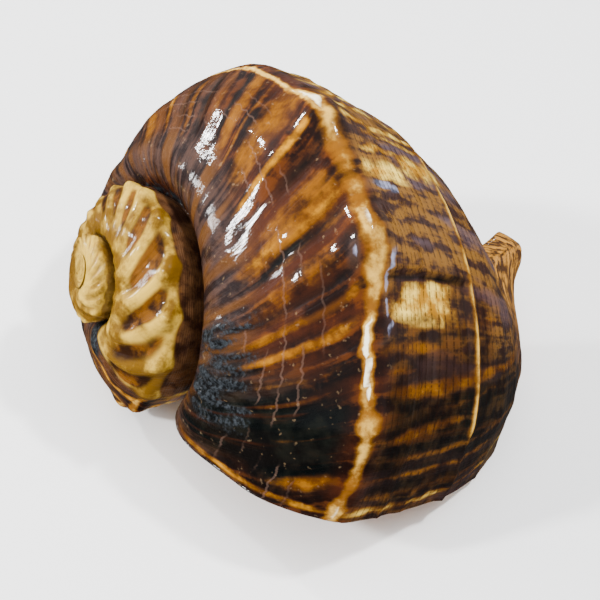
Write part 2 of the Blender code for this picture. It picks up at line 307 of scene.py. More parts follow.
def value_noise(x, y, seed):
    """Smooth noise from -1 to 1: random values on a square lattice, blended with flat ends."""
    table = np.random.default_rng(seed).uniform(-1.0, 1.0, (256, 256))
    x, y = np.broadcast_arrays(np.asarray(x, float), np.asarray(y, float))
    xi = np.floor(x).astype(int)
    yi = np.floor(y).astype(int)
    fx = smooth_step(x - xi)
    fy = smooth_step(y - yi)
    near = table[xi % 256, yi % 256] * (1 - fx) + table[(xi + 1) % 256, yi % 256] * fx
    far = table[xi % 256, (yi + 1) % 256] * (1 - fx) + table[(xi + 1) % 256, (yi + 1) % 256] * fx
    return near * (1 - fy) + far * fy


def polar(points):
    """Points given as distance, angle and depth, as x, y and depth."""
    points = np.asarray(points, float)
    angle = np.radians(points[..., 1])
    return np.stack([points[..., 0] * np.cos(angle), points[..., 0] * np.sin(angle), points[..., 2]], -1)


def growth_curve():
    """The growth line's points, with its start put on the turn before, at the seam."""
    line = polar(GROWTH_LINE)
    seam = line[int(SEAM) - 1]
    scale = math.exp(-GROWTH * TURN)
    turn = math.radians(SUTURE_LEAD)
    start = np.array([math.cos(turn) * seam[0] - math.sin(turn) * seam[1],
                      math.sin(turn) * seam[0] + math.cos(turn) * seam[1],
                      seam[2]])
    return np.vstack([scale * start, line])


CURVE = growth_curve()


def along_line(place):
    """Smooth curve through the growth line's points, a cubic between each two."""
    last = len(CURVE) - 1
    place = np.clip(place, 0.0, last - 1e-9)
    cell = np.floor(place).astype(int)
    t = (place - cell)[..., None]
    before = np.where((cell > 0)[..., None], CURVE[np.maximum(cell - 1, 0)], 2 * CURVE[0] - CURVE[1])
    here = CURVE[cell]
    there = CURVE[cell + 1]
    after = np.where((cell + 2 <= last)[..., None], CURVE[np.minimum(cell + 2, last)],
                     2 * CURVE[last] - CURVE[last - 1])
    return 0.5 * (2 * here + (there - before) * t + (2 * before - 5 * here + 4 * there - after) * t ** 2
                  + (3 * here - before - 3 * there + after) * t ** 3)


def whorl_scale(growth):
    """Size of the whorl at a growth angle: e to the growth rate times the angle."""
    return np.exp(GROWTH * growth)


def on_spire(growth, soft):
    """0 on the last whorl and 1 on the spire, with a soft change between."""
    return fall(growth, -TURN + 0.5 * soft, soft)


def canal_bend(growth, place):
    """How far the canal is bent away from the mouth: fully at the lip, not at all a quarter turn back."""
    late = rise(growth, -CANAL_ARC, CANAL_ARC)
    down = rise(place, BEND_START, BEND_FULL - BEND_START)
    pit = np.clip(1.0 - (place - CREST) / BEND_FADE, 0.0, 1.0) ** 2
    return (late * down * pit)[..., None] * np.array(CANAL_BEND)


def bare_wall(growth, place):
    """The growth line carried back along the spiral, with no relief.

    The point at a place is turned about the axis by the growth angle and shrunk by the whorl's scale.
    """
    growth, place = np.broadcast_arrays(np.asarray(growth, float), np.asarray(place, float))
    trim = LIP_TRIM * fall(place, TRIM_END, TRIM_FADE) + LIP_TRIM_TOP * fall(place, TRIM_TOP_END, TRIM_FADE)
    growth = growth - trim * rise(growth, -LIP_TRIM_ARC, LIP_TRIM_ARC)
    point = along_line(place)
    pinch = LIP_PINCH * rise(growth, -LIP_PINCH_ARC, LIP_PINCH_ARC) * rise(place, 0.0, PINCH_FULL)
    scale = whorl_scale(growth) * (1.0 - pinch)
    angle = np.radians(growth)
    x = scale * (np.cos(angle) * point[..., 0] - np.sin(angle) * point[..., 1])
    y = scale * (np.sin(angle) * point[..., 0] + np.cos(angle) * point[..., 1])
    depth = scale * point[..., 2]
    over = depth - APEX_WORN
    depth = APEX_WORN + 0.5 * (over + np.sqrt(over ** 2 + APEX_ROUND ** 2))
    return np.stack([x, y, depth], -1) + canal_bend(growth, place)


def wall_normal(growth, place):
    """Outward direction of the bare wall: the cross product of its two tangents."""
    step = 0.01
    turn = 0.5
    down = bare_wall(growth, place + step) - bare_wall(growth, place - step)
    ahead = bare_wall(growth + turn, place) - bare_wall(growth - turn, place)
    normal = np.cross(down, ahead)
    return -normal / np.maximum(np.linalg.norm(normal, axis=-1, keepdims=True), 1e-12)


def knob_list():
    """The knobs seen in the photo, then evenly spaced ones up the spire."""
    knobs = list(KNOBS)
    angle = KNOBS[-1][0] - EARLY_KNOB_STEP
    while angle > -TURN * (1.0 + SPIRE_TURNS):
        knobs.append((angle, EARLY_KNOB_HEIGHT, EARLY_KNOB_WIDTH))
        angle -= EARLY_KNOB_STEP
    return knobs


def lean_back(growth, place):
    """Growth angle of the old mouth edge that a point lies on: it leans back above the shoulder."""
    lean = LEAN * (1.0 + on_spire(growth, SPIRE_SOFT))
    return growth - lean * np.clip(LEAN_END - place, 0.0, 6.0)


def knob_relief(growth, place, edge, spire):
    """Sum over the knobs: a crown on the shoulder, a fold along the old edge above, a skirt below."""
    height = np.zeros(edge.shape)
    above = rise(place, *FOLD_FROM) * fall(place, *FOLD_TO)
    below = bump(place, SKIRT_AT, SKIRT_HALF)
    shoulder = bump(place, SHOULDER - CROWN_ABOVE - SPIRE_CROWN_ABOVE * spire, CROWN_HALF)
    slide = SKIRT_SLIDE * np.clip(place - SHOULDER, 0.0, SKIRT_REACH)
    for angle, knob, width in knob_list():
        crown = KNOB_CROWN * bump(growth, angle, width) * shoulder
        fold = (KNOB_FOLD + SPIRE_FOLD * spire) * bump(edge, angle, width * FOLD_WIDER) * above
        skirt = KNOB_SKIRT * bump(growth - angle, slide, width) * below
        height = height + knob * (crown + fold + skirt)
    return height


def grown_relief(growth, place, edge, spire):
    """Folds under the streaks less the valleys, the cords, the swelling less the dip, and noise."""
    height = np.zeros(edge.shape)
    for angle, width, strength, _, first, final in STREAKS:
        streak = window(place, max(first, STREAK_FOLD_FROM), final, FOLD_SOFT)
        streak = bump(edge, angle, 1.1 * max(width, 3.0)) * streak
        height = height + STREAK_FOLD * strength * streak * (1.0 - spire)
    for angle, width, depth, first in VALLEYS:
        height = height - depth * bump(edge, angle, width) * window(place, first, FOLD_END, FOLD_SOFT)
    for at, cord, width in CORDS:
        height = height + cord * bump(place, at, width)
    below = rise(place, 7.2, 0.8)
    above = window(place, 3.6, FOLD_END, 0.8)
    ridges = value_noise(edge / 3.4, place * 0.25, 11)
    folds = value_noise(edge / 7.0, place * 0.4, 13)
    lumps = value_noise(growth / 8.0, place * 0.8, 19)
    height = height + FINE_RIDGES * ridges * (0.6 + 0.4 * below)
    height = height + BROAD_RIDGES * folds * (above + 0.5 * below)
    height = height + SPIRE_LUMPS * lumps * spire * rise(place, 0.0, 3.0)
    at, width, swelling = SWELLING
    uneven = 1.0 + 0.35 * value_noise(growth / 5.0, place * 0.6, 17)
    height = height + swelling * bump(place, at, width) * uneven * (1.0 - 0.5 * spire)
    at, width, depth = DIP
    return height - depth * bump(place, at, width) * (1.0 - spire)


def broken_step(growth, edge_at, step):
    """A step up behind an edge, which runs out exponentially towards the apex."""
    _, run_out, height, _ = step
    return height * np.where(growth < edge_at, np.exp((growth - edge_at) / run_out), 0.0)


def worn_relief(growth, place):
    """The two old broken edges, the canal's scales and the crust of dirt, the last two from noise."""
    ledge_at = LEDGE[0] + 1.0 * value_noise(place * 1.4, 0.0, 21)
    rag_at = RAG[0] + 1.2 * value_noise(place * 2.2, 0.5, 22)
    height = broken_step(growth, ledge_at, LEDGE) * window(place, *LEDGE[3])
    height = height + broken_step(growth, rag_at, RAG) * window(place, *RAG[3])
    waver = 0.35 * value_noise(place * 3.0, growth / 5.0, 24)
    scales = np.abs(value_noise(growth / 3.2 + waver, place * 0.5, 23))
    height = height + CANAL_SCALES * scales * rise(place, *SCALES_FROM)
    dirt = window(place, *DIRT_PLACES) * rise(growth, *DIRT_FROM) * fall(growth, *DIRT_TO)
    return height + DIRT_CRUST * value_noise(growth / 1.1, place * 4.0, 31) * dirt


def relief_fade(growth, place):
    """0 where the relief must vanish: at the suture, on the seam of each turn, and near the apex."""
    fade = rise(place, 0.0, 1.0)
    last = rise(growth, 4.0 - TURN, 8.0)
    near_seam = rise(place, SEAM - 0.6, 0.4)
    fade = fade * (1.0 - near_seam * (1.0 - last) * (1.0 - fall(place, SEAM, 0.3)))
    fade = fade * np.where(place > SEAM, last, 1.0)
    return fade * rise(growth, PLAIN_APEX, PLAIN_ARC) * fall(place, CREST - 0.5, 1.5)


def relief(growth, place):
    """Height over the bare wall: what grew and what broke or wore, faded where turns are joined."""
    growth, place = np.broadcast_arrays(growth, place)
    edge = lean_back(growth, place)
    spire = on_spire(growth, SPIRE_SOFT)
    height = knob_relief(growth, place, edge, spire) + grown_relief(growth, place, edge, spire)
    return (height + worn_relief(growth, place)) * relief_fade(growth, place)


def wall(growth, place):
    """Outer wall in lip radii: the bare wall moved outwards by the relief times the whorl's scale."""
    growth = np.asarray(growth, float)
    place = np.asarray(place, float)
    height = relief(growth, place) * whorl_scale(growth)
    return bare_wall(growth, place) + wall_normal(growth, place) * height[..., None]


def pillar(growth, place, share):
    """Points between the whorl's crest or pit and those a turn before: straight, bowed towards the mouth.

    The bow is a half sine over the share of the way across, and it shrinks down the pit.
    """
    share = np.asarray(share, float)[..., None]
    angle = math.radians(growth + PILLAR_BOW_TURN)
    sideways = np.array([math.cos(angle), math.sin(angle), 0.0]) * whorl_scale(growth)
    bend = canal_bend(growth, place)
    here = bare_wall(growth, place) - bend
    before = bare_wall(growth - TURN, place)
    shallow = 1.0 - (place - CREST) / (PIT - CREST + 1.0)
    bow = PILLAR_BOW * np.sin(math.pi * share) * shallow[..., None]
    return here * (1 - share) + before * share + bow * sideways + bend * np.clip(1 - 2.5 * share, 0, 1) ** 2


def mouth_loop(growth):
    """Points, growth directions, outwardness, nearness to the pillar and narrowness round the mouth."""
    outer = np.concatenate([np.linspace(0.0, SEAM, FINE + 1), np.linspace(SEAM, CREST, BASE + 1)[1:]])
    inner = np.linspace(CREST, SEAM, BASE + 1)[:-1]
    across = np.linspace(0.0, 1.0, BRIDGE + 1)[1:-1]
    crest = np.full(len(across), CREST)
    full = np.ones(len(across))

    def loop_at(angle):
        """The loop's points at a growth angle."""
        return np.vstack([bare_wall(angle, outer), pillar(angle, crest, across),
                          bare_wall(angle - TURN, inner)])

    points = loop_at(growth)
    share = np.concatenate([rise(outer, 0.0, 1.5), 1 - across, np.zeros(len(inner))])
    near = np.concatenate([rise(outer, 16.0, 2.0), full, rise(inner, 15.5, 2.5)])
    narrow = np.concatenate([rise(outer, 13.5, 2.5), full, rise(inner, 14.0, 2.5)])
    return points, loop_at(growth + 1.0) - points, share, near, narrow


def inner_ring(growth, outer_depth, callus, rounds):
    """The mouth's loop moved inwards by the wall on one side and the callus on the other.

    It is then smoothed: in each round a point moves part of the way to the middle of its neighbours.
    """
    points, ways, share, near, narrow = mouth_loop(growth)
    along = np.roll(points, -1, axis=0) - np.roll(points, 1, axis=0)
    inward = np.cross(along, ways)
    inward /= np.maximum(np.linalg.norm(inward, axis=1, keepdims=True), 1e-9)
    if np.sum(inward * (points.mean(axis=0) - points)) < 0:
        inward = -inward
    angle = math.radians(growth)
    sideways = np.array([math.cos(angle), math.sin(angle), 0.0])
    inward = inward * (1.0 - near[:, None]) + sideways * near[:, None]
    inward /= np.linalg.norm(inward, axis=1, keepdims=True)
    depth = outer_depth * share * (1.0 + PILLAR_THICK * near) + callus * (1 - share)
    ring = points + inward * depth[:, None]
    ease = (SMOOTH_LEAST + (1.0 - SMOOTH_LEAST) * narrow)[:, None]
    for _ in range(rounds):
        middle = 0.5 * (np.roll(ring, 1, axis=0) + np.roll(ring, -1, axis=0))
        ring = ring + ease * SMOOTH_SHARE * (middle - ring)
    return ring


def draw_in(points):
    """Move the canal's end towards the spire and away from the lip, fading out over the base."""
    near = fall(points[:, 0], SHIFT_REACH, SHIFT_SOFT)
    deep = rise(points[:, 2], SHIFT_DEPTH, SHIFT_SOFT)
    return points + (near * deep)[:, None] * np.array(CANAL_SHIFT)


def lie_down(points):
    """Turn the shell from its own axis to the way it lies, and move its apex to its place.

    It is rolled about its axis, tipped by the slope, turned to its heading, and made life size.
    """
    roll = math.radians(ROLL)
    slope = math.radians(SLOPE)
    heading = math.radians(HEADING)
    points = draw_in(points)
    x = points[:, 2]
    y = points[:, 0] * math.cos(roll) - points[:, 1] * math.sin(roll)
    z = points[:, 0] * math.sin(roll) + points[:, 1] * math.cos(roll)
    x, z = x * math.cos(slope) + z * math.sin(slope), z * math.cos(slope) - x * math.sin(slope)
    x, y = x * math.cos(heading) - y * math.sin(heading), x * math.sin(heading) + y * math.cos(heading)
    return np.stack([x, y, z], -1) * LIP_RADIUS + np.array(APEX)


class Net:
    """Points of the shell with their growth angle, place and insideness, and faces between them."""

    def __init__(self):
        self.points = []
        self.marks = []
        self.quads = []
        self.count = 0

    def add(self, points, growth, place, inside):
        """Store an array of points and return their numbers in the same shape."""
        shape = points.shape[:-1]
        fields = [np.broadcast_to(np.asarray(v, float), shape).ravel() for v in (growth, place, inside)]
        self.points.append(points.reshape(-1, 3))
        self.marks.append(np.stack(fields, -1))
        numbers = np.arange(self.count, self.count + int(np.prod(shape))).reshape(shape)
        self.count += numbers.size
        return numbers

    def join(self, one, other):
        """Quads between two rows of the same length, or between neighbouring rows of stacked ones."""
        quads = np.stack([one[..., :-1], one[..., 1:], other[..., 1:], other[..., :-1]], -1)
        self.quads.append(quads.reshape(-1, 4))

    def corners(self, a, b, c):
        """Triangles given by three arrays, kept as quads with a doubled corner."""
        self.quads.append(np.stack([a, b, c, c], -1).reshape(-1, 4))


def sew_spire(net, last):
    """Rows of the spire, joined to the last whorl's end and capped at the apex.

    The spire has half as many steps in a row, so its first row meets every second point.
    """
    rows = int(round(ROWS * SPIRE_TURNS))
    coarse = np.linspace(0.0, SEAM, COARSE + 1)
    back = (-(ROWS + np.arange(1, rows + 1)) * TURN / ROWS)[:, None]
    spire = net.add(wall(back, coarse[None, :]), back, coarse[None, :], 0.0)
    fine_row = last[ROWS, :FINE + 1]
    first = spire[0]
    net.corners(first[:-1], fine_row[0:-1:2], fine_row[1::2])
    net.corners(first[:-1], fine_row[1::2], first[1:])
    net.corners(first[1:], fine_row[1::2], fine_row[2::2])
    net.join(spire[:-1], spire[1:])

    edge = np.concatenate([spire[-ROWS - 1:-1, 0], spire[-1]])
    ring = np.vstack(net.points)[edge]
    middle = ring.mean(axis=0)
    middle[2] = ring[:, 2].min() - CAP_RISE * np.linalg.norm(ring - middle, axis=1).mean()
    cap = net.add(middle[None, :], float(back[-1, 0]), CAP_PLACE, 0.0)
    net.corners(edge, np.roll(edge, -1), np.full(len(edge), cap[0]))
    return spire


def sew_inner_lip(net, last, pole):
    """The wall between the mouth's two ends, down into the pit; gives the loop round the mouth."""
    crest = FINE + BASE
    places = np.linspace(CREST, PIT, PIT_STEPS + 1)
    shares = (np.arange(1, BRIDGE) / BRIDGE)[:, None]
    between = pillar(0.0, np.broadcast_to(places, (BRIDGE - 1, len(places))),
                     np.broadcast_to(shares, (BRIDGE - 1, len(places))))
    middle_rows = net.add(between, 0.0, places[None, :], LIP_INSIDE)
    lines = np.concatenate([last[:1, crest:], middle_rows, last[ROWS:, crest:]])
    net.join(lines[:-1], lines[1:])
    net.corners(lines[:-1, -1], np.full(BRIDGE, pole), lines[1:, -1])
    return np.concatenate([last[0, :crest], lines[:-1, 0], last[ROWS, crest:FINE:-1]])


def sew_hollow(net, loop, outer):
    """Rings from the loop round the mouth over its rounded edge and back inside, closed at a point."""
    depth = WALL / LIP_RADIUS
    callus = CALLUS / LIP_RADIUS
    rim = np.vstack(net.points)[loop]
    lip = inner_ring(LIP_BACK, LIP_WALL * depth, callus, LIP_ROUNDS)
    _, ways, share, _, _ = mouth_loop(0.0)
    forward = ways / np.linalg.norm(ways, axis=1, keepdims=True) * share[:, None] * depth
    rings = [(1.0 - way) * rim + way * lip + bulge * forward for way, bulge in LIP_ROUND]
    for angle in HOLLOW_STEPS:
        size = whorl_scale(angle)
        thick = depth * (WALL_LEAST + (1.0 - WALL_LEAST) * size)
        rings.append(inner_ring(angle, thick, callus * size, HOLLOW_ROUNDS))
    backs = np.concatenate([np.zeros(len(LIP_ROUND)), HOLLOW_STEPS])
    ways_in = np.concatenate([[way for way, _ in LIP_ROUND], np.ones(len(HOLLOW_STEPS))])
    spots = np.concatenate([outer, np.full(BRIDGE - 1, CREST), np.linspace(CREST, SEAM, BASE + 1)[:-1]])
    stack = net.add(np.array(rings), backs[:, None], spots[None, :], ways_in[:, None])
    rows = np.vstack([loop[None, :], stack])
    rows = np.hstack([rows, rows[:, :1]])
    net.join(rows[:-1], rows[1:])
    end = net.add(rings[-1].mean(axis=0)[None, :], HOLLOW_STEPS[-1], END_PLACE, 1.0)[0]
    net.corners(rows[-1, :-1], rows[-1, 1:], np.full(rows.shape[1] - 1, end))


def build_net():
    """Every row of the shell: last whorl, spire, pit, inner lip, mouth edge and hollow.

    Returns the points, their marks, the faces, and for each point the one it is welded to.
    """
    net = Net()
    outer = np.concatenate([np.linspace(0.0, SEAM, FINE + 1), np.linspace(SEAM, CREST, BASE + 1)[1:]])
    full = np.concatenate([outer, np.linspace(CREST, PIT, PIT_STEPS + 1)[1:]])
    growth = (-np.arange(ROWS + 1) * TURN / ROWS)[:, None]
    last = net.add(wall(growth, full[None, :]), growth, full[None, :], 0.0)
    net.join(last[:-1], last[1:])
    spire = sew_spire(net, last)

    # The pit beside the canal is closed at one point on the axis
    pole = net.add(np.array([[0.0, 0.0, PIT_DEPTH]]), 0.0, PIT, 0.0)[0]
    net.corners(last[:-1, -1], np.full(ROWS, pole), last[1:, -1])
    loop = sew_inner_lip(net, last, pole)
    sew_hollow(net, loop, outer)

    # The start of each row lies on the seam of the turn before
    weld_from = np.concatenate([[last[0, 0]], last[1:, 0], spire[:-ROWS, 0]])
    weld_to = np.concatenate([[last[ROWS, FINE]], spire[:ROWS, COARSE], spire[ROWS:, COARSE]])
    weld = np.arange(net.count)
    weld[weld_from] = weld_to
    return np.vstack(net.points), np.vstack(net.marks), np.vstack(net.quads), weld[weld]


# The mesh is kept this far inside the solid's box, in metres
BOX_MARGIN = 1e-6

# Marks change to the spire's over this arc. Bands slide forward down the base: degrees per step to
# a power, from this place on and over this many steps.
MARK_SOFT = 6.0
BAND_SLIDE = 1.2
SLIDE_START = 9.0
SLIDE_REACH = 5.0
SLIDE_POWER = 1.3

# The pale cord: place, half width, share of the ridge's strength, and where it ends by the lip
PALE_CORD = 10.47
CORD_HALF = 0.06
CORD_STRENGTH = 0.75
CORD_TO = (-12.0, 10.0)

# Purple grey: the swelling, the older side below the shoulder, the base, and the far side
GREY_SWELLING = (2.2, 4.2, 0.9)
GREY_OLDER = (-46.0, 12.0)
GREY_BASE = (10.6, 0.8)
GREY_SLOPE = (3.8, 6.4, 0.8)
GREY_REAR = (-105.0, 25.0)

# Nearly black: the slope above the shoulder, the flank below it, and how it lightens at the lip
DARK_SLOPE = (3.0, 6.4, 0.7)
DARK_SLOPE_FROM = (-48.0, 24.0)
DARK_FLANK = (7.3, 13.0, 0.8)
DARK_FLANK_FROM = (-46.0, 18.0)
LIGHTER_LIP = (-9.0, 8.0)
# Painted shade in the valleys: darkness per lip radius of depth, and the most of it
VALLEY_PAINTED_SHADE = 70.0
VALLEY_PAINTED_SHADE_MOST = 0.85

# Painted shadow, a dark line along the foot of the broken edge, and slate: a bare patch, a bare strip
# below the shoulder ridge and a spot of painted shade above it, each given along the growth and across it
LEDGE_SHADOW_AT = -51.7
LEDGE_SHADOW_HALF = 0.6
LEDGE_SHADOW_PLACES = (7.2, 10.3, 0.4)
PATCH_ARC = (-71.0, -68.6, 1.2)
PATCH_PLACES = (7.2, 9.0, 1.4)
STRIP_ARC = (-58.0, -40.0, 4.0)
STRIP_AT = (7.22, 0.14)
# The spot above the ridge is painted shade on the side of a knob: growth angle and half width, then place and
# half width
KNOB_SHADE_ARC = (-57.0, 2.6)
KNOB_SHADE_AT = (6.42, 0.14)
# The grey mask's level where the shell is worn to slate and in the spot of painted shade
SLATE_AND_SHADE_LEVEL = 1.5

# Painted shade in the suture, and dirt as grime on the swelling towards the lip and in a spot below the apex
SUTURE_PAINTED_SHADE = (0.9, 1.35)
SUTURE_FROM = (-960.0, 160.0)
GRIME_PLACES = (2.8, 4.5, 0.7)
GRIME_FROM = (-64.0, 20.0)
GRIME_TO = (-8.0, 14.0)
APEX_DIRT = (-326.0, 13.0)
APEX_DIRT_PLACES = (1.0, 4.0, 0.8)

# The spire's brown: dimples (partly brown shell, partly painted shade in the hollows), the faint brown round
# them, the band by the suture, and the first turns
DIMPLE_BROWN_AND_SHADE = (4.2, 6.2, 1.0)
FAINT_BROWN = (2.0, 6.9, 1.0)
BAND_FROM = 6.75
BAND_SOFT = 0.6
RIB_SLANT = 1.5
RIB_AHEAD = 2.5
EARLY = (-TURN * 1.62, 60.0)
CANAL_FROM = (13.6, 1.2)

# Amber streaks above the shoulder: growth angle at the shoulder, half width, strength, brightness,
# and the places between which they show
STREAKS = (
    (-138.5, 2.2, 0.55, 0.10, 3.9, 6.3),
    (-124.0, 1.6, 0.45, 0.00, 4.2, 6.4),
    (-114.5, 3.2, 0.75, 0.15, 4.2, 6.5),
    (-108.5, 1.1, 0.60, 0.10, 4.0, 6.4),
    (-99.5, 5.2, 0.95, 0.22, 4.3, 6.6),
    (-89.9, 1.5, 1.00, 0.80, 4.2, 6.5),
    (-76.0, 3.5, 0.55, 0.05, 4.3, 6.4),
    (-71.8, 3.0, 0.95, 0.45, 4.0, 6.5),
    (-66.0, 1.2, 0.50, 0.10, 4.4, 6.5),
    (-59.5, 4.6, 0.42, 0.00, 4.1, 6.1),
    (-50.6, 1.3, 0.85, 0.40, 4.1, 6.5),
    (-45.2, 1.4, 0.90, 0.50, 4.0, 6.4),
    (-38.0, 1.0, 0.40, 0.10, 4.2, 6.2),
    (-33.0, 0.9, 0.30, 0.00, 4.4, 6.0),
    (-23.0, 1.0, 0.35, 0.00, 4.8, 6.0),
    (-10.5, 2.4, 0.75, 0.30, 5.3, 6.5),
    (-164.0, 5.0, 0.70, 0.15, 3.8, 6.5),
    (-152.0, 1.5, 0.80, 0.50, 4.0, 6.5),
    (-186.0, 2.4, 0.90, 0.55, 4.0, 6.5),
    (-203.0, 6.0, 0.70, 0.15, 3.8, 6.5),
    (-219.0, 1.7, 0.85, 0.50, 4.0, 6.5),
    (-238.0, 4.0, 0.70, 0.25, 3.8, 6.5),
    (-255.0, 2.0, 0.85, 0.55, 4.0, 6.5),
    (-276.0, 5.0, 0.75, 0.30, 3.8, 6.5),
    (-292.0, 2.0, 0.90, 0.65, 3.8, 6.5),
    (-310.0, 4.5, 0.85, 0.60, 3.6, 6.5),
    (-326.0, 3.5, 0.95, 0.80, 3.4, 6.5),
)

# Bands below the shoulder: growth angle, half width, strength, brightness, first and last place
BANDS = (
    (-113.0, 1.8, 0.95, 0.90, 7.2, 12.5),
    (-107.0, 1.5, 0.90, 0.85, 7.2, 12.5),
    (-101.0, 2.0, 0.95, 0.90, 7.2, 13.0),
    (-95.5, 1.6, 0.90, 0.75, 7.2, 13.0),
    (-88.0, 1.5, 0.95, 0.85, 7.2, 12.0),
    (-84.6, 1.0, 0.80, 0.65, 7.4, 12.0),
    (-80.2, 1.2, 0.90, 0.80, 7.2, 10.4),
    (-74.3, 2.8, 1.00, 1.05, 7.2, 9.5),
    (-77.5, 3.6, 1.00, 1.00, 9.4, 11.0),
    (-66.0, 1.2, 0.30, 0.10, 9.0, 12.0),
    (-60.0, 1.4, 0.25, 0.10, 8.6, 12.0),
    (-47.6, 4.4, 1.00, 1.05, 7.3, 9.9),
    (-42.2, 1.0, 0.40, 0.10, 9.2, 11.6),
    (-38.2, 1.6, 0.65, 0.15, 7.1, 9.4),
    (-33.6, 0.8, 0.45, 0.00, 7.4, 9.0),
    (-29.8, 1.4, 0.75, 0.30, 7.6, 13.0),
    (-25.6, 0.8, 0.40, 0.00, 9.2, 12.0),
    (-21.2, 1.3, 0.75, 0.30, 7.2, 10.4),
    (-15.2, 0.8, 0.50, 0.10, 8.6, 12.5),
    (-10.8, 0.9, 0.55, 0.15, 7.2, 11.5),
    (-5.6, 1.0, 0.50, 0.20, 7.2, 14.0),
    (-2.2, 0.9, 0.80, 0.60, 3.2, 14.0),
    (-123.0, 2.4, 0.90, 0.85, 7.2, 12.0),
    (-134.0, 3.4, 0.90, 0.80, 7.2, 13.0),
    (-147.0, 2.0, 0.85, 0.70, 7.2, 13.0),
    (-160.0, 4.0, 0.95, 0.90, 7.2, 12.0),
    (-175.0, 2.0, 0.75, 0.50, 7.2, 14.0),
    (-188.0, 3.6, 0.90, 0.80, 7.2, 13.0),
    (-203.0, 2.2, 0.85, 0.70, 7.2, 13.0),
    (-218.0, 4.0, 0.95, 0.85, 7.2, 12.0),
    (-236.0, 2.6, 0.85, 0.60, 7.2, 14.0),
    (-252.0, 4.0, 0.90, 0.80, 7.2, 13.0),
    (-268.0, 3.0, 0.90, 0.70, 7.2, 13.0),
    (-285.0, 4.5, 0.95, 0.85, 7.2, 13.0),
    (-304.0, 3.4, 0.90, 0.80, 7.2, 13.0),
    (-322.0, 4.0, 0.95, 0.90, 7.2, 12.0),
)


# The pale shoulder ridge: growth angle, place, half width, strength. The strongest places get a white top,
# partly pale shell and partly painted highlight
RIDGE_AND_HIGHLIGHT = np.array((
    (-345.0, 6.60, 0.30, 0.80),
    (-150.0, 6.60, 0.20, 0.75),
    (-125.0, 6.55, 0.15, 0.90),
    (-105.0, 6.60, 0.17, 0.85),
    (-92.0, 6.78, 0.28, 1.05),
    (-85.0, 6.80, 0.40, 0.62),
    (-77.0, 6.82, 0.52, 0.56),
    (-68.0, 6.76, 0.38, 0.56),
    (-63.0, 6.82, 0.30, 1.00),
    (-58.0, 6.92, 0.32, 0.72),
    (-50.0, 6.85, 0.32, 0.70),
    (-45.0, 6.72, 0.18, 0.80),
    (-42.0, 6.66, 0.16, 1.15),
    (-31.0, 6.66, 0.15, 1.15),
    (-28.0, 6.75, 0.26, 0.62),
    (-24.0, 6.85, 0.32, 0.80),
    (-10.0, 6.95, 0.22, 0.70),
    (-3.0, 6.90, 0.25, 0.90),
))


def amber_marks(growth, place, edge, wobble):
    """How amber and how bright: the strongest streak or band at each point, each one a bell."""
    amber = np.zeros(growth.shape)
    bright = np.zeros(growth.shape)
    slide = growth + BAND_SLIDE * np.clip(place - SLIDE_START, 0.0, SLIDE_REACH) ** SLIDE_POWER + 0.8 * wobble
    for angle, width, strength, glow, first, final in STREAKS:
        streak = bump(edge + 0.5 * wobble, angle, width) * window(place, first, final, 1.0)
        amber = np.maximum(amber, strength * streak)
        bright = np.maximum(bright, glow * streak)
    for angle, width, strength, glow, first, final in BANDS:
        band = bump(slide, angle, width) ** 0.8 * window(place + 0.25 * wobble, first, final, 1.1)
        amber = np.maximum(amber, strength * band)
        bright = np.maximum(bright, glow * band)
    return amber, bright


def ridge_marks(growth, place, ragged):
    """The pale shoulder ridge, a ragged bell whose place, width and strength follow the ridge table, with a
    white top in places that is partly painted highlight; and the pale cord.
    """
    middle, half, strength = (np.interp(growth, RIDGE_AND_HIGHLIGHT[:, 0], RIDGE_AND_HIGHLIGHT[:, column]) for column in (1, 2, 3))
    ridge = strength * bump(place + ragged, middle, half)
    cord_at = PALE_CORD + 0.03 * value_noise(growth / 6.0, 0.0, 44)
    cord = bump(place, cord_at, CORD_HALF) * fall(growth, *CORD_TO)
    return np.maximum(ridge, CORD_STRENGTH * cord)


def grey_marks(growth, place):
    """Purple grey: the swelling, the older side below the shoulder, the base and the far side."""
    swelling = 0.9 * window(place, *GREY_SWELLING)
    flank = rise(place, SHOULDER, 0.5) * (0.30 + 0.70 * fall(growth, *GREY_OLDER))
    base = 0.75 * rise(place, *GREY_BASE)
    rear = 0.55 * fall(growth, *GREY_REAR) * window(place, *GREY_SLOPE)
    return np.clip(np.maximum(np.maximum(swelling, flank), np.maximum(base, rear)), 0, 1)


def dark_marks(growth, place, edge, wobble):
    """Nearly black: above and below the shoulder towards the lip, and painted shade in the valleys."""
    above = rise(growth, *DARK_SLOPE_FROM) * window(place, *DARK_SLOPE)
    below = 0.85 * rise(growth, *DARK_FLANK_FROM) * window(place, *DARK_FLANK)
    dark = np.maximum(above, below) * (1.0 - 0.6 * rise(growth, *LIGHTER_LIP))
    # Painted shade in the valleys, darker where they are deeper
    for angle, width, depth, first in VALLEYS:
        shadow = bump(edge + 0.5 * wobble, angle, 0.8 * width) * window(place, first, FOLD_END, 0.8)
        dark = np.maximum(dark, np.minimum(VALLEY_PAINTED_SHADE * depth, VALLEY_PAINTED_SHADE_MOST) * shadow)
    return dark


def slate_and_shade_marks(growth, place, ragged):
    """Slate grey beside the shoulder ridge: a worn strip below it, and a spot of painted shade above it."""
    below = window(growth, *STRIP_ARC) * bump(place + 2.0 * ragged, *STRIP_AT)
    # A spot of painted shade on the side of the knob
    above = bump(growth, *KNOB_SHADE_ARC) * bump(place, *KNOB_SHADE_AT)
    return np.maximum(below, above)


